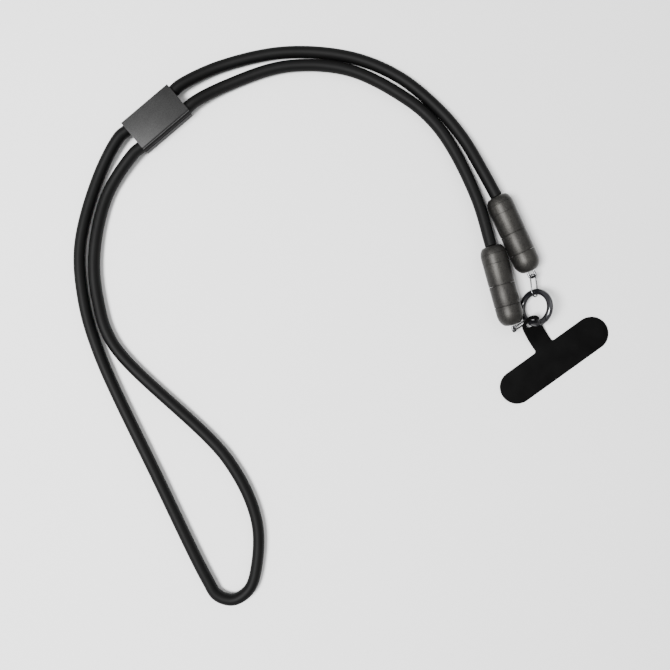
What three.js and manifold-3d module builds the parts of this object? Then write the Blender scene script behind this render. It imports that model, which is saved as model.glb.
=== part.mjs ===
// Charging cable lanyard: one metre of round cable doubled through a metal slider, each end in a
// two-part capsule, both capsules linked to a spring gate ring that holds a T-shaped phone tab.
// Millimetres, +Z up, lying on z = 0. The origin is the middle of the tab's cross bar, underneath.
import * as THREE from 'three';
import { mergeVertices } from 'three/addons/utils/BufferGeometryUtils.js';
import Module from 'manifold-3d';

const wasm = await Module();
wasm.setup();

// Clearances
const seat_gap = 0.3; // between pieces that rest on or enter each other
const pin_gap = 0.08; // round the hinge pin

// Cable
const cable_d = 5.6;
const cable_sides = 10;
const cable_steps = 80;

// Slider: a metal block with a channel along each long side, open to that side above the cable
const slider_length = 28.5;
const slider_width = 16.2;
const slider_height = 9;
const slider_edge = 0.5; // bevel along the long top edges
const channel_z = 4.7; // height of the channels' axes
const channel_inset = 0.05; // how far the cable lies inside the block's side
const mouth_low = 5.2;
const slider_pose = { x: -191.8, y: 115.8, turn: 40.3 };

// Capsules, lengths counted from the cord end
const capsule_d = 12.3;
const capsule_length = 39;
const collar_length = 3.7;
const ring_line_at = 8.4; // a fine turned line round the sleeve
const sleeve_end = 19.0;
const cap_end = 29.2;
const dome_length = 5.3;
const mouth_d = 7.0; // collar's front face round the cable
const round_end_length = 6.0;
const end_face_d = 4.2;
const spigot_d = 8.4;
const spigot_length = 1.6;
const seam_bevel = 0.15;
const line_depth = 0.12;
const right_capsule = { x: -29.4, y: 78.3, turn: -65.5 };
const left_capsule = { x: -32.0, y: 54.71, turn: -74.5 };

// Stirrups on the capsule ends and the oval links that join them to the ring
const stirrup_width = 4.7;
const stirrup_length = 3.7;
const stirrup_wire_d = 1.15;
const right_stirrup_roll = 52;
const left_stirrup_roll = -56.5;
const link_wire_d = 0.7;
const link_width = 4.5; // across the middle of the wire
const link_length = 10.8; // between the middles of the wire at both ends
const right_link = { x: -11.54, y: 35.94, z: 6.3, turn: -84.5, pitch: 2.15, roll: -38.8 };
const left_link = { x: -16.62, y: 17.56, z: 4.22, turn: -146.9, pitch: 1.2, roll: -65.3 };

// Spring gate ring, leaning with its gate side raised
const ring_wire_d = 3.0;
const ring_middle_d = 15.1;
const ring_tilt = 52;
const ring_pose = { x: -10.95, y: 25.35, turn: -4 };
const nose_inner_angle = -17; // where the slanted cut of the nose leaves the ring's inside
const nose_outer_angle = -43; // and its outside
const hinge_angle = -72;
const tongue_thickness = 1.0;
const fork_height = 2.6;
const hinge_pin_d = 0.9;

// Tether tab, a thin flexible T whose stem lifts to the ring
const tab_thickness = 0.9;
const bar_length = 60.9;
const bar_width = 16.3;
const bar_turn = 35.7;
const stem_width = 9.4;
const stem_fillet = 1.2;
const bend_start = 8.8; // from the middle of the bar
const bend_angle = 40;
const bend_radius = 20.1;
const stem_straight = 4.8; // raised straight end past the bend
const hole_d = 5;
const hole_from_end = 4.4;

const rad = THREE.MathUtils.degToRad;
const cable_r = cable_d / 2;
const capsule_r = capsule_d / 2;
const ring_r = ring_wire_d / 2;
const ring_R = ring_middle_d / 2;

// Material looks
function finish(color, roughness, metalness) {
  return new THREE.MeshStandardMaterial({ color, roughness, metalness });
}
const jacket = finish(0x121212, 0.6, 0);
const slider_metal = finish(0x565656, 0.45, 0.7);
const gunmetal = finish(0x4a4a4b, 0.42, 0.8);
const polished = finish(0xb4b4b4, 0.2, 1);
const black_plate = finish(0x16161a, 0.25, 0.6);
const tab_sheet = finish(0x101010, 0.7, 0);

const lanyard = new THREE.Group();

function add(parent, name, geometry, material) {
  const mesh = new THREE.Mesh(geometry, material);
  mesh.name = name;
  parent.add(mesh);
  return mesh;
}

// Booleans
function toSolid(geometry) {
  const bare = geometry.clone();
  bare.deleteAttribute('normal');
  bare.deleteAttribute('uv');
  const merged = mergeVertices(bare, 1e-4);
  const vertProperties = new Float32Array(merged.attributes.position.array);
  const triVerts = new Uint32Array(merged.index.array);
  return new wasm.Manifold(new wasm.Mesh({ numProp: 3, vertProperties, triVerts }));
}

function toGeometry(solid) {
  const mesh = solid.getMesh();
  const geometry = new THREE.BufferGeometry();
  geometry.setAttribute('position', new THREE.BufferAttribute(mesh.vertProperties, 3));
  geometry.setIndex(new THREE.BufferAttribute(mesh.triVerts, 1));
  geometry.computeVertexNormals();
  return geometry;
}

// A circle's outline as a shape for sweeping
function wireSection(diameter, sides) {
  const section = new THREE.Shape();
  for (let i = 0; i < sides; i += 1) {
    const angle = (i / sides) * 2 * Math.PI;
    const x = (diameter / 2) * Math.cos(angle);
    const y = (diameter / 2) * Math.sin(angle);
    if (i === 0) section.moveTo(x, y);
    else section.lineTo(x, y);
  }
  return section;
}

function sweep(path, diameter, sides, steps) {
  return new THREE.ExtrudeGeometry(wireSection(diameter, sides), { steps, extrudePath: path });
}

// Upright round post, axis along Z
function post(diameter, height, x, y, z, sides = 20) {
  const geometry = new THREE.CylinderGeometry(diameter / 2, diameter / 2, height, sides);
  geometry.rotateX(Math.PI / 2);
  geometry.translate(x, y, z);
  return geometry;
}

// Capsules: a group whose +Y runs from the cord end to the linked end
function capsuleFrame(pose) {
  const frame = new THREE.Group();
  frame.position.set(pose.x, pose.y, capsule_r);
  frame.rotation.z = rad(pose.turn - 90);
  lanyard.add(frame);
  return frame;
}

// Radius of the domed ends: 0 at the face, 1 where the barrel starts
function domeRadius(face_r, share) {
  return face_r + (capsule_r - face_r) * Math.sqrt(1 - (1 - share) ** 2);
}

function turned(points) {
  const profile = points.map(([r, y]) => new THREE.Vector2(r, y));
  return new THREE.LatheGeometry(profile, 32);
}

function collarProfile() {
  const points = [[0, 0], [mouth_d / 2, 0]];
  for (const share of [0.04, 0.14, 0.28, 0.45, collar_length / dome_length]) {
    points.push([domeRadius(mouth_d / 2, share), share * dome_length]);
  }
  points.push([spigot_d / 2, collar_length]);
  points.push([spigot_d / 2, collar_length + spigot_length]);
  points.push([0, collar_length + spigot_length]);
  return points;
}

function sleeveProfile() {
  const start = collar_length + seat_gap;
  const bore_r = spigot_d / 2 + seat_gap;
  const floor_y = collar_length + spigot_length + seat_gap;
  const points = [[0, floor_y], [bore_r, floor_y], [bore_r, start]];
  for (const share of [start / dome_length, 0.88, 1]) {
    points.push([domeRadius(mouth_d / 2, share), share * dome_length]);
  }
  points.push([capsule_r, ring_line_at - line_depth]);
  points.push([capsule_r - line_depth, ring_line_at]);
  points.push([capsule_r, ring_line_at + line_depth]);
  points.push([capsule_r, sleeve_end - seam_bevel]);
  points.push([capsule_r - seam_bevel, sleeve_end]);
  points.push([spigot_d / 2, sleeve_end]);
  points.push([spigot_d / 2, sleeve_end + spigot_length]);
  points.push([0, sleeve_end + spigot_length]);
  return points;
}

function capProfile() {
  const start = sleeve_end + seat_gap;
  const bore_r = spigot_d / 2 + seat_gap;
  const floor_y = sleeve_end + spigot_length + seat_gap;
  return [
    [0, floor_y],
    [bore_r, floor_y],
    [bore_r, start],
    [capsule_r - seam_bevel, start],
    [capsule_r, start + seam_bevel],
    [capsule_r, cap_end - seam_bevel],
    [capsule_r - seam_bevel, cap_end],
    [spigot_d / 2, cap_end],
    [spigot_d / 2, cap_end + spigot_length],
    [0, cap_end + spigot_length],
  ];
}

function endProfile() {
  const start = cap_end + seat_gap;
  const bore_r = spigot_d / 2 + seat_gap;
  const floor_y = cap_end + spigot_length + seat_gap;
  const points = [
    [0, floor_y],
    [bore_r, floor_y],
    [bore_r, start],
    [capsule_r - seam_bevel, start],
    [capsule_r, start + seam_bevel],
  ];
  for (const share of [1, 0.75, 0.5, 0.3, 0.14, 0.04, 0]) {
    points.push([domeRadius(end_face_d / 2, share), capsule_length - share * round_end_length]);
  }
  points.push([0, capsule_length]);
  return points;
}

// A U of round wire standing on the capsule's end face
function stirrupPath() {
  const half = (stirrup_width - stirrup_wire_d) / 2;
  const foot = capsule_length + seat_gap;
  const top = capsule_length + stirrup_length - stirrup_wire_d / 2;
  const bend = 0.8;
  const path = new THREE.CurvePath();
  const corner = (x, y) => new THREE.Vector3(x, y, 0);
  const leg = top - bend;
  path.add(new THREE.LineCurve3(corner(-half, foot), corner(-half, leg)));
  path.add(new THREE.QuadraticBezierCurve3(corner(-half, leg), corner(-half, top), corner(bend - half, top)));
  path.add(new THREE.LineCurve3(corner(bend - half, top), corner(half - bend, top)));
  path.add(new THREE.QuadraticBezierCurve3(corner(half - bend, top), corner(half, top), corner(half, leg)));
  path.add(new THREE.LineCurve3(corner(half, leg), corner(half, foot)));
  return path;
}

function capsule(side, pose, roll) {
  const frame = capsuleFrame(pose);
  add(frame, `${side}_collar`, turned(collarProfile()), gunmetal);
  add(frame, `${side}_sleeve`, turned(sleeveProfile()), gunmetal);
  add(frame, `${side}_cap`, turned(capProfile()), gunmetal);
  add(frame, `${side}_end_cap`, turned(endProfile()), gunmetal);
  const stirrup = sweep(stirrupPath(), stirrup_wire_d, 8, 16);
  add(frame, `${side}_stirrup`, stirrup, polished).rotation.y = rad(roll);
}

// Slider: +X along the channels, its two channels at -Y and +Y
const channel_y = slider_width / 2 - cable_r - channel_inset;

function slider() {
  const half = slider_width / 2;
  const outline = new THREE.Shape();
  outline.moveTo(-half + slider_edge, 0);
  outline.lineTo(half - slider_edge, 0);
  outline.lineTo(half, slider_edge);
  outline.lineTo(half, slider_height - slider_edge);
  outline.lineTo(half - slider_edge, slider_height);
  outline.lineTo(-half + slider_edge, slider_height);
  outline.lineTo(-half, slider_height - slider_edge);
  outline.lineTo(-half, slider_edge);
  outline.closePath();
  const block = new THREE.ExtrudeGeometry(outline, { depth: slider_length, bevelEnabled: false });
  block.translate(0, 0, -slider_length / 2);
  let solid = toSolid(block);
  const bore_r = cable_r + seat_gap;
  const cut_length = slider_length + 2;
  const mouth_height = channel_z + bore_r - mouth_low;
  for (const side of [-1, 1]) {
    const bore = post(2 * bore_r, cut_length, side * channel_y, channel_z, 0, 28);
    const mouth = new THREE.BoxGeometry(2 * bore_r, mouth_height, cut_length);
    mouth.translate(side * (channel_y + bore_r), mouth_low + mouth_height / 2, 0);
    solid = solid.subtract(toSolid(bore)).subtract(toSolid(mouth));
  }
  const geometry = toGeometry(solid);
  // The outline was drawn in X and Y and drawn out along Z: lay it down along X
  geometry.rotateX(Math.PI / 2);
  geometry.rotateZ(Math.PI / 2);
  const frame = new THREE.Group();
  frame.position.set(slider_pose.x, slider_pose.y, 0);
  frame.rotation.z = rad(slider_pose.turn);
  lanyard.add(frame);
  add(frame, 'slider', geometry, slider_metal);
}

// The cable's two points at one end of a channel: the channel's mouth and a little way out of it.
// Going in, the outer point comes first.
const straight_run = 5;

function besideSlider(side, end) {
  const turn = rad(slider_pose.turn);
  const along = new THREE.Vector2(Math.cos(turn), Math.sin(turn));
  const across = new THREE.Vector2(-Math.sin(turn), Math.cos(turn));
  const places = [slider_length / 2, slider_length / 2 + straight_run].map((reach) => [
    slider_pose.x + along.x * end * reach + across.x * side * channel_y,
    slider_pose.y + along.y * end * reach + across.y * side * channel_y,
    channel_z,
  ]);
  return end === side ? places.reverse() : places;
}

// Where the cable meets a capsule's collar
function capsuleMouth(pose) {
  const turn = rad(pose.turn);
  const x = pose.x - Math.cos(turn) * seat_gap;
  const y = pose.y - Math.sin(turn) * seat_gap;
  return [x, y, capsule_r];
}

// The cable's route, from the right capsule to the left one, resting on the surface where it can
const lay_gap = 0.1;
const floor_z = cable_r + lay_gap;
const route = [
  capsuleMouth(right_capsule),
  [-35.6, 89.9, 5.8],
  [-44.3, 105.6, 4.3],
  [-55.0, 119.3, 3.4],
  [-74.7, 136.1, floor_z],
  [-98.2, 146.0, floor_z],
  [-130.6, 148.6, floor_z],
  [-161.9, 141.7, 3.1],
  ...besideSlider(1, 1),
  ...besideSlider(1, -1),
  [-220.4, 88.6, 3.1],
  [-229.4, 55.7, floor_z],
  [-227.9, 30.0, floor_z],
  [-220.6, 4.3, floor_z],
  [-191.6, -57.6, floor_z],
  [-168.0, -105.9, floor_z],
  [-163.2, -113.2, floor_z],
  [-155.3, -115.3, floor_z],
  [-147.9, -110.3, floor_z],
  [-144.3, -99.0, floor_z],
  [-144.4, -76.9, floor_z],
  [-158.1, -48.0, floor_z],
  [-213.4, 7.7, floor_z],
  [-220.9, 29.0, floor_z],
  [-222.6, 52.0, floor_z],
  [-216.2, 80.0, 3.1],
  ...besideSlider(-1, -1),
  ...besideSlider(-1, 1),
  [-158.7, 132.6, 3.1],
  [-130.6, 141.8, floor_z],
  [-99.8, 140.1, floor_z],
  [-71.6, 125.9, floor_z],
  [-59.2, 115.3, floor_z],
  [-49.9, 102.2, 3.3],
  [-38.3, 77.0, 5.0],
  capsuleMouth(left_capsule),
];

function cable() {
  const points = route.map(([x, y, z]) => new THREE.Vector3(x, y, z));
  const path = new THREE.CatmullRomCurve3(points, false, 'centripetal');
  path.arcLengthDivisions = 2000;
  add(lanyard, 'cable', sweep(path, cable_d, cable_sides, cable_steps), jacket);
}

// Spring gate ring: a frame in the ring's own plane, +X towards its raised side
class RingArc extends THREE.Curve {
  constructor(radius, from, to) {
    super();
    this.radius = radius;
    this.from = rad(from);
    this.to = rad(to);
  }

  getPoint(t, target = new THREE.Vector3()) {
    const angle = this.from + (this.to - this.from) * t;
    return target.set(this.radius * Math.cos(angle), this.radius * Math.sin(angle), 0);
  }
}

function onRing(radius, angle) {
  return new THREE.Vector2(radius * Math.cos(rad(angle)), radius * Math.sin(rad(angle)));
}

// A block on one side of the nose's slanted cut, reaching half a gap past the cut
function noseCutter(side) {
  const inner = onRing(ring_R - ring_r, nose_inner_angle);
  const outer = onRing(ring_R + ring_r, nose_outer_angle);
  const length = inner.distanceTo(outer);
  const depth = ring_wire_d;
  const block = new THREE.BoxGeometry(depth, length + ring_r, 2 * ring_wire_d);
  block.translate(side * (depth / 2 - seat_gap / 2), 0, 0);
  block.rotateZ(Math.atan2(inner.y - outer.y, inner.x - outer.x) - Math.PI / 2);
  block.translate((inner.x + outer.x) / 2, (inner.y + outer.y) / 2, 0);
  return toSolid(block);
}

function ring() {
  const lean = new THREE.Group();
  lean.rotation.y = -rad(ring_tilt);
  const stand = new THREE.Group();
  stand.position.set(ring_pose.x, ring_pose.y, ring_r + ring_R * Math.sin(rad(ring_tilt)));
  stand.rotation.z = rad(ring_pose.turn);
  stand.add(lean);
  lanyard.add(stand);

  const hinge = onRing(ring_R, hinge_angle);
  const knuckle_d = ring_wire_d;
  const slot_d = knuckle_d + 2 * seat_gap;
  const slot_height = tongue_thickness + seat_gap;
  const pin_hole = toSolid(post(hinge_pin_d + 2 * pin_gap, 2 * ring_wire_d, hinge.x, hinge.y, 0));

  // Body: from the nose round to the knuckle's fork
  const body_arc = new RingArc(ring_R, nose_outer_angle - 2, hinge_angle + 360);
  const fork = post(knuckle_d, fork_height, hinge.x, hinge.y, 0, 24);
  const slot = toSolid(post(slot_d, slot_height, hinge.x, hinge.y, 0, 24));
  const body = toSolid(sweep(body_arc, ring_wire_d, 12, 56))
    .add(toSolid(fork))
    .subtract(slot)
    .subtract(pin_hole)
    .subtract(noseCutter(-1));
  add(lean, 'ring_body', toGeometry(body), black_plate);

  // Gate: its tongue sits in the fork, its slanted tip inside the nose
  const knuckle_angle = THREE.MathUtils.radToDeg(slot_d / 2 / ring_R);
  const gate_arc = new RingArc(ring_R, hinge_angle, nose_inner_angle + 2);
  const clearing = toSolid(post(slot_d, 2 * ring_wire_d, hinge.x, hinge.y, 0, 24));
  const tongue = post(knuckle_d - seat_gap, tongue_thickness, hinge.x, hinge.y, 0, 24);
  const neck_arc = new RingArc(ring_R, hinge_angle, hinge_angle + 1.5 * knuckle_angle);
  const neck = sweep(neck_arc, 2 * tongue_thickness, 12, 6);
  const neck_slice = new THREE.BoxGeometry(4 * ring_R, 4 * ring_R, tongue_thickness);
  const gate = toSolid(sweep(gate_arc, ring_wire_d, 12, 14))
    .subtract(clearing)
    .add(toSolid(neck).intersect(toSolid(neck_slice)))
    .add(toSolid(tongue))
    .subtract(pin_hole)
    .subtract(noseCutter(1));
  add(lean, 'ring_gate', toGeometry(gate), black_plate);

  const pin = post(hinge_pin_d, fork_height, hinge.x, hinge.y, 0);
  add(lean, 'hinge_pin', pin, black_plate);
}

// Oval links
function linkPath() {
  const r = link_width / 2;
  const half = link_length / 2 - r;
  const path = new THREE.CurvePath();
  const steps = 8;
  const ends = [[half, -90], [-half, 90]];
  const corners = [];
  for (const [middle, start] of ends) {
    for (let i = 0; i <= steps; i += 1) {
      const angle = rad(start + (180 * i) / steps);
      corners.push(new THREE.Vector3(middle + r * Math.cos(angle), r * Math.sin(angle), 0));
    }
  }
  corners.forEach((corner, i) => {
    path.add(new THREE.LineCurve3(corner, corners[(i + 1) % corners.length]));
  });
  return path;
}

// A closed sweep: rings of section points joined end to end
function closedWire(path, diameter, sides) {
  const corners = path.curves.map((line) => line.v1);
  const count = corners.length;
  const positions = [];
  const index = [];
  corners.forEach((corner, i) => {
    const before = corners[(i + count - 1) % count];
    const after = corners[(i + 1) % count];
    const inward = new THREE.Vector3(0, 0, 1).cross(after.clone().sub(before)).normalize();
    for (let k = 0; k < sides; k += 1) {
      const angle = (k / sides) * 2 * Math.PI;
      const out = -Math.cos(angle) * diameter / 2;
      const up = Math.sin(angle) * diameter / 2;
      positions.push(corner.x + inward.x * out, corner.y + inward.y * out, corner.z + up);
    }
  });
  for (let i = 0; i < count; i += 1) {
    for (let k = 0; k < sides; k += 1) {
      const next = (i + 1) % count;
      const turn = (k + 1) % sides;
      const a = i * sides + k;
      const b = next * sides + k;
      const c = next * sides + turn;
      const d = i * sides + turn;
      index.push(a, b, c, a, c, d);
    }
  }
  const geometry = new THREE.BufferGeometry();
  geometry.setAttribute('position', new THREE.Float32BufferAttribute(positions, 3));
  geometry.setIndex(index);
  geometry.computeVertexNormals();
  return geometry;
}

function link(name, pose) {
  const mesh = add(lanyard, name, closedWire(linkPath(), link_wire_d, 6), polished);
  mesh.position.set(pose.x, pose.y, pose.z);
  mesh.rotation.set(rad(pose.roll), -rad(pose.pitch), rad(pose.turn), 'ZYX');
}

// Tether tab: the outline from above, cut from a band with the stem's bend
function tabOutline() {
  const rise = rad(bend_angle);
  const bend_run = bend_radius * Math.sin(rise);
  const end_x = bend_start + bend_run + stem_straight * Math.cos(rise);
  const bar_half = bar_width / 2;
  const stem_half = stem_width / 2;
  const bar_middle = bar_length / 2 - bar_half;
  const outline = new THREE.Shape();
  outline.moveTo(-bar_half, -bar_middle);
  outline.absarc(0, -bar_middle, bar_half, Math.PI, 2 * Math.PI, false);
  outline.lineTo(bar_half, -stem_half - stem_fillet);
  outline.absarc(bar_half + stem_fillet, -stem_half - stem_fillet, stem_fillet, Math.PI, Math.PI / 2, true);
  const round_x = end_x - stem_half * Math.cos(rise);
  outline.lineTo(round_x, -stem_half);
  outline.absellipse(round_x, 0, end_x - round_x, stem_half, -Math.PI / 2, Math.PI / 2, false, 0);
  outline.lineTo(bar_half + stem_fillet, stem_half);
  outline.absarc(bar_half + stem_fillet, stem_half + stem_fillet, stem_fillet, -Math.PI / 2, -Math.PI, true);
  outline.lineTo(bar_half, bar_middle);
  outline.absarc(0, bar_middle, bar_half, 0, Math.PI, false);
  outline.closePath();
  return outline;
}

// The bend's centreline seen from the side, from the bar's far edge to past the stem's end
function bendBand() {
  const rise = rad(bend_angle);
  const far = bar_width;
  const steps = 8;
  const mid_radius = bend_radius;
  const line = [[-far, 0, 0], [bend_start, 0, 0]];
  for (let i = 1; i <= steps; i += 1) {
    const angle = (rise * i) / steps;
    line.push([bend_start + mid_radius * Math.sin(angle), mid_radius * (1 - Math.cos(angle)), angle]);
  }
  const [last_x, last_z] = line[line.length - 1];
  const reach = 2 * stem_straight;
  line.push([last_x + reach * Math.cos(rise), last_z + reach * Math.sin(rise), rise]);
  const half = tab_thickness / 2;
  const band = new THREE.Shape();
  line.forEach(([x, z, angle], i) => {
    const px = x + half * Math.sin(angle);
    const pz = half + z - half * Math.cos(angle);
    if (i === 0) band.moveTo(px, pz);
    else band.lineTo(px, pz);
  });
  [...line].reverse().forEach(([x, z, angle]) => {
    band.lineTo(x - half * Math.sin(angle), half + z + half * Math.cos(angle));
  });
  band.closePath();
  return band;
}

function tetherTab() {
  const rise = rad(bend_angle);
  const tall = 4 * bend_radius;
  const plan = new THREE.ExtrudeGeometry(tabOutline(), { depth: tall, bevelEnabled: false, curveSegments: 14 });
  plan.translate(0, 0, -tall / 2);
  const band = new THREE.ExtrudeGeometry(bendBand(), { depth: 2 * bar_length, bevelEnabled: false });
  band.rotateX(Math.PI / 2);
  band.translate(0, bar_length, 0);
  const hole_along = stem_straight - hole_from_end;
  const hole = post(hole_d, 6 * tab_thickness, 0, 0, 0, 24);
  hole.rotateY(-rise);
  const bend_x = bend_start + bend_radius * Math.sin(rise);
  const bend_z = bend_radius * (1 - Math.cos(rise));
  const hole_x = bend_x + hole_along * Math.cos(rise);
  const hole_z = tab_thickness / 2 + bend_z + hole_along * Math.sin(rise);
  hole.translate(hole_x, 0, hole_z);
  const tab = toSolid(plan).intersect(toSolid(band)).subtract(toSolid(hole));
  const geometry = toGeometry(tab);
  const mesh = add(lanyard, 'tether_tab', geometry, tab_sheet);
  mesh.rotation.z = rad(bar_turn + 90);
}

cable();
slider();
capsule('right', right_capsule, right_stirrup_roll);
capsule('left', left_capsule, left_stirrup_roll);
link('right_link', right_link);
link('left_link', left_link);
ring();
tetherTab();

export default lanyard;
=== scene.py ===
# %% [markdown]
# # Charging cable lanyard
# The looks of the lanyard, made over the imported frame. Sizes are in millimetres, and every mesh
# is brought to metres as it is made, so each object sits at the origin.

# %% Load the frame
import math
import bmesh
import bpy
import numpy as np
from mathutils import Matrix, Vector


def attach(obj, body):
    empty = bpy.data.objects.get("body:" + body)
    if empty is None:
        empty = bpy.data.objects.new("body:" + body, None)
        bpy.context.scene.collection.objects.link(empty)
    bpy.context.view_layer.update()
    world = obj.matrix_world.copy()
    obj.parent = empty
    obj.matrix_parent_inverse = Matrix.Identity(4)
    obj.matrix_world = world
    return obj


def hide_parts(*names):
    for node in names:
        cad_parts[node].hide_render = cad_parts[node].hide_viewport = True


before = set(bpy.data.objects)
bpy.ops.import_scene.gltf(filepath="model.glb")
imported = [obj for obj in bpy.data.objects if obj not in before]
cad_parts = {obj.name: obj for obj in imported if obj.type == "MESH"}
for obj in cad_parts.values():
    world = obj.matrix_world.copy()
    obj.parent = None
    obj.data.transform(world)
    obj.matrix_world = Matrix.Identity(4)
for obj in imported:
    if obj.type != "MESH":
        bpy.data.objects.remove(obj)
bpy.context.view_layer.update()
MM = 0.001

# %% [markdown]
# ## Camera
# The photograph was taken from straight above. The height of 31 cm over the surface is an
# estimate. From there the capsules' domed ends and the raised ring lean outwards a little.

# %% Camera
camera_data = bpy.data.cameras.new("camera")
camera_data.sensor_width = 36
camera_data.lens = 34.2
camera_data.clip_start = 0.01
camera_data.dof.use_dof = False
camera = bpy.data.objects.new("camera", camera_data)
camera.location = (-0.1065, 0.0123, 0.310)
bpy.context.collection.objects.link(camera)
bpy.context.scene.camera = camera
print("camera at", tuple(camera.location))

# %% [markdown]
# ## Materials
# Every material is a node tree on object coordinates. A fine noise moves the roughness, the bump
# and a speckle in the colour, and a broad one varies the colour in soft patches.


# %% Material helpers
TONE_RANGE = (0.35, 0.65)  # where the broad noise goes from the dark to the light tone
GRAIN_RANGE = (0.36, 0.64)  # the part of the fine noise that the speckle spreads out
COAT_ROUGHNESS = 0.12
BUMP_HEIGHT = 0.0002  # metres


def linear(hex_colour):
    """An sRGB hex colour as linear RGBA."""
    parts = [int(hex_colour[i:i + 2], 16) / 255 for i in (1, 3, 5)]
    return [p / 12.92 if p <= 0.04045 else ((p + 0.055) / 1.055) ** 2.4 for p in parts] + [1.0]


def add_node(tree, kind, inputs=None, **settings):
    """A new node with these input values and settings."""
    node = tree.nodes.new(kind)
    for name, value in settings.items():
        setattr(node, name, value)
    for name, value in (inputs or {}).items():
        node.inputs[name].default_value = value
    return node


def surface(name, dark, light, roughness, metallic, grain, bump, patches=60.0, coat=0.0,
            gloss=0.5, speck=0.15):
    """A dark and a light tone in soft patches, with a fine grain of a given scale and bump.

    The mix node's colour sockets share their names with its other ones, so they are numbered.
    """
    material = bpy.data.materials.new(name)
    material.use_nodes = True
    tree = material.node_tree
    shader = tree.nodes["Principled BSDF"]
    shader.inputs["Metallic"].default_value = metallic
    shader.inputs["Specular IOR Level"].default_value = gloss
    shader.inputs["Coat Weight"].default_value = coat
    shader.inputs["Coat Roughness"].default_value = COAT_ROUGHNESS
    place = add_node(tree, "ShaderNodeTexCoord")
    broad = add_node(tree, "ShaderNodeTexNoise", {"Scale": patches, "Detail": 3.0})
    fine = add_node(tree, "ShaderNodeTexNoise", {"Scale": grain, "Detail": 4.0, "Roughness": 0.6})
    tone = add_node(tree, "ShaderNodeValToRGB")
    tone.color_ramp.elements[0].position = TONE_RANGE[0]
    tone.color_ramp.elements[0].color = linear(dark)
    tone.color_ramp.elements[1].position = TONE_RANGE[1]
    tone.color_ramp.elements[1].color = linear(light)
    speckle = add_node(tree, "ShaderNodeMix", {"Factor": speck}, data_type="RGBA",
                       blend_type="OVERLAY")
    contrast = add_node(tree, "ShaderNodeMapRange",
                        {"From Min": GRAIN_RANGE[0], "From Max": GRAIN_RANGE[1]})
    spread = add_node(tree, "ShaderNodeMapRange")
    spread.inputs["To Min"].default_value = roughness[0]
    spread.inputs["To Max"].default_value = roughness[1]
    relief = add_node(tree, "ShaderNodeBump", {"Strength": bump, "Distance": BUMP_HEIGHT})
    link = tree.links.new
    link(place.outputs["Object"], broad.inputs["Vector"])
    link(place.outputs["Object"], fine.inputs["Vector"])
    link(broad.outputs["Fac"], tone.inputs["Fac"])
    link(tone.outputs["Color"], speckle.inputs[6])
    link(fine.outputs["Fac"], contrast.inputs["Value"])
    link(contrast.outputs["Result"], speckle.inputs[7])
    link(speckle.outputs[2], shader.inputs["Base Color"])
    link(fine.outputs["Fac"], spread.inputs["Value"])
    link(spread.outputs["Result"], shader.inputs["Roughness"])
    link(fine.outputs["Fac"], relief.inputs["Height"])
    link(relief.outputs["Normal"], shader.inputs["Normal"])
    return material


jacket = surface("soft_tpe_jacket", "#030303", "#060606", (0.5, 0.66), 0.0, 1800, 0.12, gloss=0.1)
gunmetal = surface("satin_anodised_aluminium", "#252423", "#302f2d", (0.34, 0.6), 0.85, 2800,
                   0.25, speck=0.5)
blasted = surface("blasted_anodised_aluminium", "#202020", "#282828", (0.42, 0.62), 0.7, 2800,
                  0.25, speck=0.4)
steel = surface("polished_steel_wire", "#464648", "#5e5e60", (0.12, 0.22), 1.0, 3000, 0.05)
plated = surface("gloss_black_plating", "#101012", "#1c1c20", (0.14, 0.24), 0.5, 2400, 0.04,
                 coat=0.6)
sheet = surface("matte_tpu_sheet", "#030303", "#060606", (0.6, 0.76), 0.0, 2600, 0.3, patches=110,
                gloss=0.04)
print("materials made:", jacket.name, gunmetal.name, blasted.name, steel.name, plated.name,
      sheet.name)

# %% [markdown]
# ## Geometry Nodes
# One tree turns a line of points into a round tube. The cable, the stirrups and the links use it.


# %% Tube tree
def tube_tree():
    """The Geometry Nodes tree that sweeps a circle along a line of points."""
    tree = bpy.data.node_groups.new("tube_along_line", "GeometryNodeTree")
    face = tree.interface
    face.new_socket("Geometry", in_out="INPUT", socket_type="NodeSocketGeometry")
    face.new_socket("Radius", in_out="INPUT", socket_type="NodeSocketFloat")
    face.new_socket("Sides", in_out="INPUT", socket_type="NodeSocketInt")
    face.new_socket("Material", in_out="INPUT", socket_type="NodeSocketMaterial")
    face.new_socket("Geometry", in_out="OUTPUT", socket_type="NodeSocketGeometry")
    entry = add_node(tree, "NodeGroupInput")
    out = add_node(tree, "NodeGroupOutput")
    line = add_node(tree, "GeometryNodeMeshToCurve")
    circle = add_node(tree, "GeometryNodeCurvePrimitiveCircle")
    tube = add_node(tree, "GeometryNodeCurveToMesh", {"Fill Caps": True})
    smooth = add_node(tree, "GeometryNodeSetShadeSmooth")
    whole = add_node(tree, "GeometryNodeRealizeInstances")
    paint = add_node(tree, "GeometryNodeSetMaterial")
    link = tree.links.new
    link(entry.outputs["Geometry"], line.inputs["Mesh"])
    link(entry.outputs["Radius"], circle.inputs["Radius"])
    link(entry.outputs["Sides"], circle.inputs["Resolution"])
    link(line.outputs["Curve"], tube.inputs["Curve"])
    link(circle.outputs["Curve"], tube.inputs["Profile Curve"])
    link(tube.outputs["Mesh"], smooth.inputs["Geometry"])
    link(smooth.outputs["Geometry"], whole.inputs["Geometry"])
    link(whole.outputs["Geometry"], paint.inputs["Geometry"])
    link(entry.outputs["Material"], paint.inputs["Material"])
    link(paint.outputs["Geometry"], out.inputs["Geometry"])
    return tree


TUBE = tube_tree()
sockets = {s.name: s.identifier for s in TUBE.interface.items_tree if s.in_out == "INPUT"}


def put(name, mesh, material, *stands_for, body="lanyard"):
    """An object of this mesh, which rides on a body and stands for CAD nodes."""
    obj = bpy.data.objects.new(name, mesh)
    bpy.context.collection.objects.link(obj)
    if not mesh.materials:
        mesh.materials.append(material)
    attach(obj, body)
    if stands_for:
        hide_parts(*stands_for)
    return obj


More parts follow.
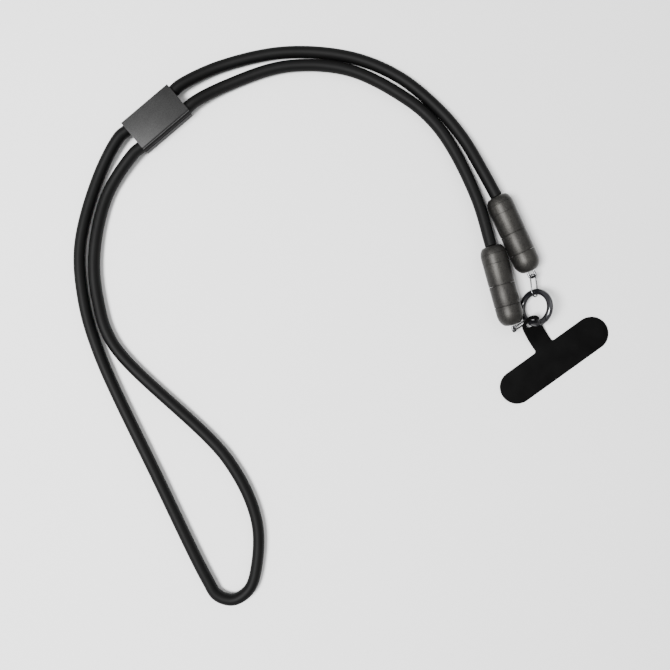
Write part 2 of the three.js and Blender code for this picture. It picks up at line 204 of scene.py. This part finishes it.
def baked(obj, name):
    """The evaluated mesh of an object, which is then removed."""
    depsgraph = bpy.context.evaluated_depsgraph_get()
    mesh = bpy.data.meshes.new_from_object(obj.evaluated_get(depsgraph))
    mesh.name = name
    obj.modifiers.clear()
    bpy.data.objects.remove(obj)
    return mesh


def tube(name, points, diameter, sides, material, node, closed=False):
    """A round tube along points in millimetres."""
    count = len(points)
    edges = [(i, i + 1) for i in range(count - 1)] + ([(count - 1, 0)] if closed else [])
    line = bpy.data.meshes.new(name + "_line")
    line.from_pydata([Vector(p) * MM for p in points], edges, [])
    carrier = bpy.data.objects.new(name + "_line", line)
    bpy.context.collection.objects.link(carrier)
    modifier = carrier.modifiers.new("tube", "NODES")
    modifier.node_group = TUBE
    modifier[sockets["Radius"]] = diameter / 2 * MM
    modifier[sockets["Sides"]] = sides
    modifier[sockets["Material"]] = material
    return put(name, baked(carrier, name), material, node)


print("tube tree inputs", sockets)

# %% [markdown]
# ## The cable
# One round cable of about 0.96 m, from the right capsule through the slider, round the narrow
# loop and back to the left capsule. The smooth line through its points is a centripetal spline.

# %% Cable route
SEAT = 0.3  # the gap between pieces that seat on each other
CABLE_D = 5.6
CAPSULE_R = 6.15
FLOOR_GAP = 0.1
FLOOR_Z = CABLE_D / 2 + FLOOR_GAP  # the middle of the cable where it lies on the surface
SLIDER = (-191.8, 115.8, 40.3)  # x, y and turn in degrees, as for the capsules below
SLIDER_LENGTH = 28.5
SLIDER_WIDTH = 16.2
CHANNEL_Z = 4.7
CHANNEL_INSET = 0.05
CHANNEL_Y = SLIDER_WIDTH / 2 - CABLE_D / 2 - CHANNEL_INSET
LEAD = 5  # the straight run of cable past each end of the slider
RIGHT = (-29.4, 78.3, -65.5)
LEFT = (-32.0, 54.71, -74.5)


def mouth(pose):
    """Where the cable starts, a seat before a capsule's collar."""
    turn = math.radians(pose[2])
    return (pose[0] - math.cos(turn) * SEAT, pose[1] - math.sin(turn) * SEAT, CAPSULE_R)


def beside_slider(side, end):
    """Two places on one channel's line, at one end of the slider, in the cable's order."""
    turn = math.radians(SLIDER[2])
    places = []
    for reach in (SLIDER_LENGTH / 2, SLIDER_LENGTH / 2 + LEAD):
        x = SLIDER[0] + math.cos(turn) * end * reach - math.sin(turn) * side * CHANNEL_Y
        y = SLIDER[1] + math.sin(turn) * end * reach + math.cos(turn) * side * CHANNEL_Y
        places.append((x, y, CHANNEL_Z))
    return places[::-1] if end == side else places


route = [
    mouth(RIGHT), (-35.6, 89.9, 5.8), (-44.3, 105.6, 4.3), (-55.0, 119.3, 3.4),
    (-74.7, 136.1, FLOOR_Z), (-98.2, 146.0, FLOOR_Z), (-130.6, 148.6, FLOOR_Z),
    (-161.9, 141.7, 3.1), *beside_slider(1, 1), *beside_slider(1, -1),
    (-220.4, 88.6, 3.1), (-229.4, 55.7, FLOOR_Z), (-227.9, 30.0, FLOOR_Z),
    (-220.6, 4.3, FLOOR_Z), (-191.6, -57.6, FLOOR_Z), (-168.0, -105.9, FLOOR_Z),
    (-163.2, -113.2, FLOOR_Z), (-155.3, -115.3, FLOOR_Z), (-147.9, -110.3, FLOOR_Z),
    (-144.3, -99.0, FLOOR_Z), (-144.4, -76.9, FLOOR_Z), (-158.1, -48.0, FLOOR_Z),
    (-213.4, 7.7, FLOOR_Z), (-220.9, 29.0, FLOOR_Z), (-222.6, 52.0, FLOOR_Z),
    (-216.2, 80.0, 3.1), *beside_slider(-1, -1), *beside_slider(-1, 1),
    (-158.7, 132.6, 3.1), (-130.6, 141.8, FLOOR_Z), (-99.8, 140.1, FLOOR_Z),
    (-71.6, 125.9, FLOOR_Z), (-59.2, 115.3, FLOOR_Z), (-49.9, 102.2, 3.3),
    (-38.3, 77.0, 5.0), mouth(LEFT),
]


def centripetal(points, per_span=16):
    """A smooth line through the points, with as many places in each span."""
    p = [np.array(q, float) for q in points]
    p = [2 * p[0] - p[1]] + p + [2 * p[-1] - p[-2]]
    out = []
    for i in range(1, len(p) - 2):
        dt0, dt1, dt2 = (np.linalg.norm(p[j + 1] - p[j]) ** 0.5 for j in (i - 1, i, i + 1))
        t1 = (p[i] - p[i - 1]) / dt0 - (p[i + 1] - p[i - 1]) / (dt0 + dt1)
        t1 = (t1 + (p[i + 1] - p[i]) / dt1) * dt1
        t2 = (p[i + 1] - p[i]) / dt1 - (p[i + 2] - p[i]) / (dt1 + dt2)
        t2 = (t2 + (p[i + 2] - p[i + 1]) / dt2) * dt1
        for k in range(per_span):
            t = k / per_span
            a = 2 * t ** 3 - 3 * t ** 2 + 1
            b = t ** 3 - 2 * t ** 2 + t
            c = 3 * t ** 2 - 2 * t ** 3
            out.append(a * p[i] + b * t1 + c * p[i + 1] + (t ** 3 - t ** 2) * t2)
    return out + [p[-2]]


line = centripetal(route)
cable = tube("cable_jacket", line, CABLE_D, 24, jacket, "cable")

# %% [markdown]
# ## Capsules
# Each piece is turned from a profile of radius and place along the capsule's axis. The domed ends
# are quarter ellipses, and each seam has a small bevel that catches the light.

# %% Turned pieces
MOUTH_R = 3.3  # the flat of the collar's face, inside its small edge
COLLAR_FACE_R, END_FACE_R = 3.5, 2.1
SPIGOT_R, SPIGOT = 4.2, 1.6
SEAM = 0.14  # the fine joint line that shows between two turned pieces
EDGE, EDGE_STEP = 0.15, 0.04  # the bevel on both sides of a seam
COLLAR, SLEEVE_END, CAP_END, END = 3.7, 19.0, 29.2, 39.0  # where each piece ends
DOME, ROUND = 5.3, 6.0  # the lengths of the domed ends
LINE = 8.4  # where the turned line round the sleeve lies
LINE_TOP, LINE_FLOOR, LINE_DEPTH = 0.14, 0.05, 0.12
STIRRUP_WIRE, STIRRUP_WIDTH, STIRRUP_HEIGHT, STIRRUP_BEND = 1.15, 4.7, 3.7, 0.9
TURNED_SHARP = math.radians(32)


def dome(face_r, share):
    """The radius at this share of a domed end, which starts at its face."""
    return face_r + (CAPSULE_R - face_r) * math.sqrt(max(0.0, 1 - (1 - share) ** 2))


def collar_profile():
    shares = np.linspace(0.0, COLLAR / DOME, 14)[1:]
    rim = [(0, 0), (MOUTH_R, 0), (COLLAR_FACE_R, 0.06)]
    barrel = [(dome(COLLAR_FACE_R, s), s * DOME) for s in shares]
    return rim + barrel + [(SPIGOT_R, COLLAR), (SPIGOT_R, COLLAR + SPIGOT), (0, COLLAR + SPIGOT)]


def sleeve_profile():
    start = COLLAR + SEAM
    bore = SPIGOT_R + SEAT
    floor = COLLAR + SPIGOT + SEAT
    barrel = [(dome(COLLAR_FACE_R, s), s * DOME) for s in np.linspace(start / DOME, 1.0, 8)]
    groove = [(CAPSULE_R, LINE - LINE_TOP), (CAPSULE_R - LINE_DEPTH, LINE - LINE_FLOOR),
              (CAPSULE_R - LINE_DEPTH, LINE + LINE_FLOOR), (CAPSULE_R, LINE + LINE_TOP)]
    return [(0, floor), (bore, floor), (bore, start)] + barrel + groove + tail(SLEEVE_END)


def tail(seam):
    """The bevelled rim and the spigot that end the sleeve and the cap."""
    return [(CAPSULE_R, seam - EDGE), (CAPSULE_R - EDGE_STEP, seam - EDGE_STEP),
            (CAPSULE_R - EDGE, seam), (SPIGOT_R, seam),
            (SPIGOT_R, seam + SPIGOT), (0, seam + SPIGOT)]


def cap_head(seam):
    """The bore over the last piece's spigot and the bevelled rim that start the caps."""
    start = seam + SEAM
    bore = SPIGOT_R + SEAT
    floor = seam + SPIGOT + SEAT
    return [(0, floor), (bore, floor), (bore, start), (CAPSULE_R - EDGE, start),
            (CAPSULE_R - EDGE_STEP, start + EDGE_STEP), (CAPSULE_R, start + EDGE)]


def cap_profile():
    return cap_head(SLEEVE_END) + tail(CAP_END)


def end_profile():
    nose = [(dome(END_FACE_R, s), END - s * ROUND) for s in np.linspace(1.0, 0.0, 18)]
    return cap_head(CAP_END) + nose + [(0, END)]


def capsule_matrix(pose):
    """The place of a capsule, whose own axis is +Y."""
    turn = Matrix.Rotation(math.radians(pose[2] - 90), 4, "Z")
    return Matrix.Translation((pose[0], pose[1], CAPSULE_R)) @ turn


def turned(name, profile, pose, node, sides=72):
    """A piece turned from (radius, place) pairs round a capsule's axis."""
    mesh = bpy.data.meshes.new(name)
    bm = bmesh.new()
    rings = []
    for r, y in profile:
        around = [2 * math.pi * k / sides for k in range(sides)] if r > 0 else [0.0]
        ring = [bm.verts.new((r * math.cos(a), y, r * math.sin(a))) for a in around]
        rings.append(ring)
    for one, two in zip(rings, rings[1:]):
        for k in range(sides):
            n = (k + 1) % sides
            if len(one) == 1:
                bm.faces.new((one[0], two[n], two[k]))
            elif len(two) == 1:
                bm.faces.new((one[k], one[n], two[0]))
            else:
                bm.faces.new((one[k], one[n], two[n], two[k]))
    bmesh.ops.recalc_face_normals(bm, faces=bm.faces)
    bm.transform(Matrix.Scale(MM, 4) @ capsule_matrix(pose))
    bm.to_mesh(mesh)
    bm.free()
    mesh.shade_smooth()
    mesh.set_sharp_from_angle(angle=TURNED_SHARP)
    obj = put(name, mesh, gunmetal, node)


def stirrup(side, pose, roll):
    """The wire loop on a capsule's linked end, rolled about the capsule's axis."""
    half = (STIRRUP_WIDTH - STIRRUP_WIRE) / 2
    foot = END + SEAT
    top = END + STIRRUP_HEIGHT - STIRRUP_WIRE / 2
    bend = STIRRUP_BEND
    points = [(-half, foot, 0), (-half, top - bend, 0)]
    for k in range(1, 9):
        a = math.pi / 2 * k / 8
        points.append((-half + bend * (1 - math.cos(a)), top - bend + bend * math.sin(a), 0))
    points += [(-x, y, z) for x, y, z in reversed(points)]
    place = capsule_matrix(pose) @ Matrix.Rotation(math.radians(roll), 4, "Y")
    obj = tube(f"{side}_wire_stirrup", [place @ Vector(p) for p in points], STIRRUP_WIRE, 20,
               steel, f"{side}_stirrup")


for side, pose, roll in (("right", RIGHT, 52), ("left", LEFT, -56.5)):
    for part, profile in (("collar", collar_profile()), ("sleeve", sleeve_profile()),
                          ("cap", cap_profile()), ("end_cap", end_profile())):
        turned(f"{side}_turned_{part}", profile, pose, f"{side}_{part}")
    stirrup(side, pose, roll)
print("capsules and stirrups made")

# %% [markdown]
# ## Links
# Each oval link passes through a stirrup and round the ring's wire.

# %% Links
LINK_WIRE, LINK_WIDTH, LINK_LENGTH = 0.7, 4.5, 10.8


def oval(name, node, place, turn, pitch, roll):
    """A link with straight sides and round ends, turned, pitched and rolled in degrees."""
    r = LINK_WIDTH / 2
    half = LINK_LENGTH / 2 - r
    points = []
    for middle, start in ((half, -90), (-half, 90)):
        for k in range(25):
            a = math.radians(start + 180 * k / 24)
            points.append(Vector((middle + r * math.cos(a), r * math.sin(a), 0)))
    turned_by = (Matrix.Rotation(math.radians(turn), 4, "Z")
                 @ Matrix.Rotation(-math.radians(pitch), 4, "Y")
                 @ Matrix.Rotation(math.radians(roll), 4, "X"))
    matrix = Matrix.Translation(place) @ turned_by
    obj = tube(name, [matrix @ p for p in points], LINK_WIRE, 16, steel, node, closed=True)


oval("right_wire_link", "right_link", (-11.54, 35.94, 6.30), -84.5, 2.15, -38.8)
oval("left_wire_link", "left_link", (-16.62, 17.56, 4.22), -146.9, 1.2, -65.3)
print("links made")

# %% [markdown]
# ## Slider and tab
# These take the solid's own shape. Flat facets are joined first, then the hard edges get a narrow
# rounded bevel, because a real edge always shows a thin line of light.

# %% Bevelled copies
BEVELLED_FROM = math.radians(28)
SHARP = math.radians(35)


def bevelled(name, node, material, width):
    """A copy of a solid with a bevel of this width along its hard edges."""
    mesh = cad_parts[node].data.copy()
    mesh.name = name
    mesh.materials.clear()
    bm = bmesh.new()
    bm.from_mesh(mesh)
    bmesh.ops.remove_doubles(bm, verts=bm.verts, dist=1e-6)
    bmesh.ops.dissolve_limit(bm, angle_limit=math.radians(1), verts=bm.verts, edges=bm.edges)
    bm.to_mesh(mesh)
    bm.free()
    carrier = bpy.data.objects.new(name + "_carrier", mesh)
    bpy.context.collection.objects.link(carrier)
    bevel = carrier.modifiers.new("edges", "BEVEL")
    bevel.width = width * MM
    bevel.segments = 3
    bevel.limit_method = "ANGLE"
    bevel.angle_limit = BEVELLED_FROM
    bevel.use_clamp_overlap = True
    solid = baked(carrier, name)
    solid.shade_smooth()
    solid.set_sharp_from_angle(angle=SHARP)
    obj = put(name, solid, material, node)


bevelled("slider_block", "slider", blasted, 0.18)
bevelled("tab_sheet", "tether_tab", sheet, 0.16)
print("slider and tab made")

# %% [markdown]
# ## Spring gate ring
# The body runs from its slanted nose round to the hinge's fork, and the gate from its tongue to
# its slanted tip. Both are cut with the same cylinders and planes, half a gap on each side.

# %% Ring
RING_R, WIRE_R = 7.55, 1.5
HINGE = -72  # where the hinge lies round the ring, in degrees
NOSE_IN, NOSE_OUT = -17, -43  # the ends of the slanted cut, inside and outside the ring
TONGUE, PIN_D, PIN_GAP, FORK = 1.0, 0.9, 0.08, 2.6
RING_X, RING_Y = -10.95, 25.35
RING_TURN, RING_LEAN = -4, 52


def on_ring(radius, angle):
    """A place in the ring's plane at this radius and angle in degrees."""
    a = math.radians(angle)
    return Vector((radius * math.cos(a), radius * math.sin(a), 0))


def plain(name, bm):
    """An object of this mesh in the ring's own frame, as a base or a tool for booleans."""
    mesh = bpy.data.meshes.new(name)
    bmesh.ops.recalc_face_normals(bm, faces=bm.faces)
    bm.to_mesh(mesh)
    bm.free()
    obj = bpy.data.objects.new(name, mesh)
    bpy.context.collection.objects.link(obj)
    return obj


def arc(name, start, end, radius, steps=96, sides=32):
    """A stretch of the ring's wire between two angles, with flat ends."""
    bm = bmesh.new()
    rings = []
    for i in range(steps + 1):
        a = start + (end - start) * i / steps
        out = on_ring(1, a)
        ring = []
        for k in range(sides):
            b = 2 * math.pi * k / sides
            point = out * (RING_R + radius * math.cos(b))
            point.z = radius * math.sin(b)
            ring.append(bm.verts.new(point))
        rings.append(ring)
    for one, two in zip(rings, rings[1:]):
        for k in range(sides):
            n = (k + 1) % sides
            bm.faces.new((one[k], one[n], two[n], two[k]))
    bm.faces.new(rings[0])
    bm.faces.new(rings[-1])
    return plain(name, bm)


def drum(name, diameter, height, sides=48):
    """A cylinder on the hinge's axis."""
    bm = bmesh.new()
    place = Matrix.Translation(on_ring(RING_R, HINGE))
    bmesh.ops.create_cone(bm, cap_ends=True, segments=sides, radius1=diameter / 2,
                          radius2=diameter / 2, depth=height, matrix=place)
    return plain(name, bm)


def block(name, size, matrix):
    bm = bmesh.new()
    bmesh.ops.create_cube(bm, size=1, matrix=matrix @ Matrix.Diagonal((*size, 1)))
    return plain(name, bm)


def nose_cutter(side):
    """A block on one side of the slanted cut, which leaves half a gap there."""
    inner, outer = on_ring(RING_R - WIRE_R, NOSE_IN), on_ring(RING_R + WIRE_R, NOSE_OUT)
    along = inner - outer
    turn = Matrix.Rotation(math.atan2(along.y, along.x) - math.pi / 2, 4, "Z")
    shift = Matrix.Translation((side * (WIRE_R - SEAT / 2), 0, 0))
    size = (2 * WIRE_R, along.length + WIRE_R, 4 * WIRE_R)
    return block("cutter", size, Matrix.Translation((inner + outer) / 2) @ turn @ shift)


def combine(base, steps):
    """Booleans one after another: (operation, tool) pairs, the tools removed afterwards."""
    for operation, tool in steps:
        modifier = base.modifiers.new("cut", "BOOLEAN")
        modifier.operation = operation
        modifier.solver = "EXACT"
        modifier.object = tool
    mesh = baked(base, base.name)
    for _, tool in steps:
        bpy.data.objects.remove(tool)
    return mesh


rise = WIRE_R + RING_R * math.sin(math.radians(RING_LEAN))
stand = (Matrix.Translation((RING_X, RING_Y, rise))
         @ Matrix.Rotation(math.radians(RING_TURN), 4, "Z")
         @ Matrix.Rotation(-math.radians(RING_LEAN), 4, "Y"))


def finish_ring(name, mesh, node, body):
    """Stands a finished ring piece in its place, resting on its low side."""
    mesh.transform(Matrix.Scale(MM, 4) @ stand)
    mesh.shade_smooth()
    mesh.set_sharp_from_angle(angle=SHARP)
    mesh.materials.clear()
    obj = put(name, mesh, plated, node, body=body)


slot_d = 2 * WIRE_R + 2 * SEAT
knuckle = math.degrees(slot_d / 2 / RING_R)
pin_hole = PIN_D + 2 * PIN_GAP
body_mesh = combine(arc("ring_frame", NOSE_OUT - 2, HINGE + 360, WIRE_R), [
    ("UNION", drum("fork", 2 * WIRE_R, FORK)),
    ("DIFFERENCE", drum("slot", slot_d, TONGUE + SEAT)),
    ("DIFFERENCE", drum("hole", pin_hole, 4 * WIRE_R)),
    ("DIFFERENCE", nose_cutter(-1)),
])
finish_ring("ring_frame", body_mesh, "ring_body", "lanyard")
neck = combine(arc("neck", HINGE, HINGE + 1.5 * knuckle, TONGUE, steps=10), [
    ("INTERSECT", block("slice", (30, 30, TONGUE), Matrix.Identity(4))),
])
neck_tool = bpy.data.objects.new("neck_tool", neck)
bpy.context.collection.objects.link(neck_tool)
gate_mesh = combine(arc("ring_arm", HINGE, NOSE_IN + 2, WIRE_R, steps=32), [
    ("DIFFERENCE", drum("clearing", slot_d, 4 * WIRE_R)),
    ("UNION", neck_tool),
    ("UNION", drum("tongue", 2 * WIRE_R - SEAT, TONGUE)),
    ("DIFFERENCE", drum("hole", pin_hole, 4 * WIRE_R)),
    ("DIFFERENCE", nose_cutter(1)),
])
finish_ring("ring_arm", gate_mesh, "ring_gate", "gate")
pin = drum("ring_pin", PIN_D, FORK)
finish_ring("ring_pin", baked(pin, "ring_pin"), "hinge_pin", "lanyard")
print("ring made")

# %% [markdown]
# ## Floor and light
# A plain pale surface and a broad soft light from above, as in the photograph.

# %% Stage
FLOOR_HALF = 1.2  # metres
corners = ((-1, -1), (1, -1), (1, 1), (-1, 1))
floor_corners = [(x * FLOOR_HALF, y * FLOOR_HALF, 0) for x, y in corners]
floor_mesh = bpy.data.meshes.new("floor")
floor_mesh.from_pydata(floor_corners, [], [(0, 1, 2, 3)])
floor_obj = bpy.data.objects.new("floor", floor_mesh)
floor_obj.location.z = -0.00002
bpy.context.collection.objects.link(floor_obj)
paper = surface("pale_paper", "#dcdcdc", "#dfdfdf", (0.8, 0.9), 0.0, 400, 0.0, patches=4,
                speck=0.0)
floor_mesh.materials.append(paper)


def soft_light(name, energy, size, place, aim):
    """A square area light at a place, in metres, turned towards its aim."""
    data = bpy.data.lights.new(name, "AREA")
    data.energy = energy
    data.size = size
    obj = bpy.data.objects.new(name, data)
    obj.location = place
    obj.rotation_euler = (Vector(aim) - Vector(place)).to_track_quat("-Z", "Y").to_euler()
    bpy.context.collection.objects.link(obj)


middle = (-0.1, 0.01, 0)
soft_light("overhead", 27.0, 0.32, (-0.5, -0.1, 0.85), middle)
soft_light("side_fill", 4.0, 0.9, (0.35, 0.4, 0.9), middle)
world = bpy.data.worlds.new("studio")
world.use_nodes = True
world.node_tree.nodes["Background"].inputs["Color"].default_value = linear("#f4f4f4")
world.node_tree.nodes["Background"].inputs["Strength"].default_value = 0.8
bpy.context.scene.world = world
print("stage made")
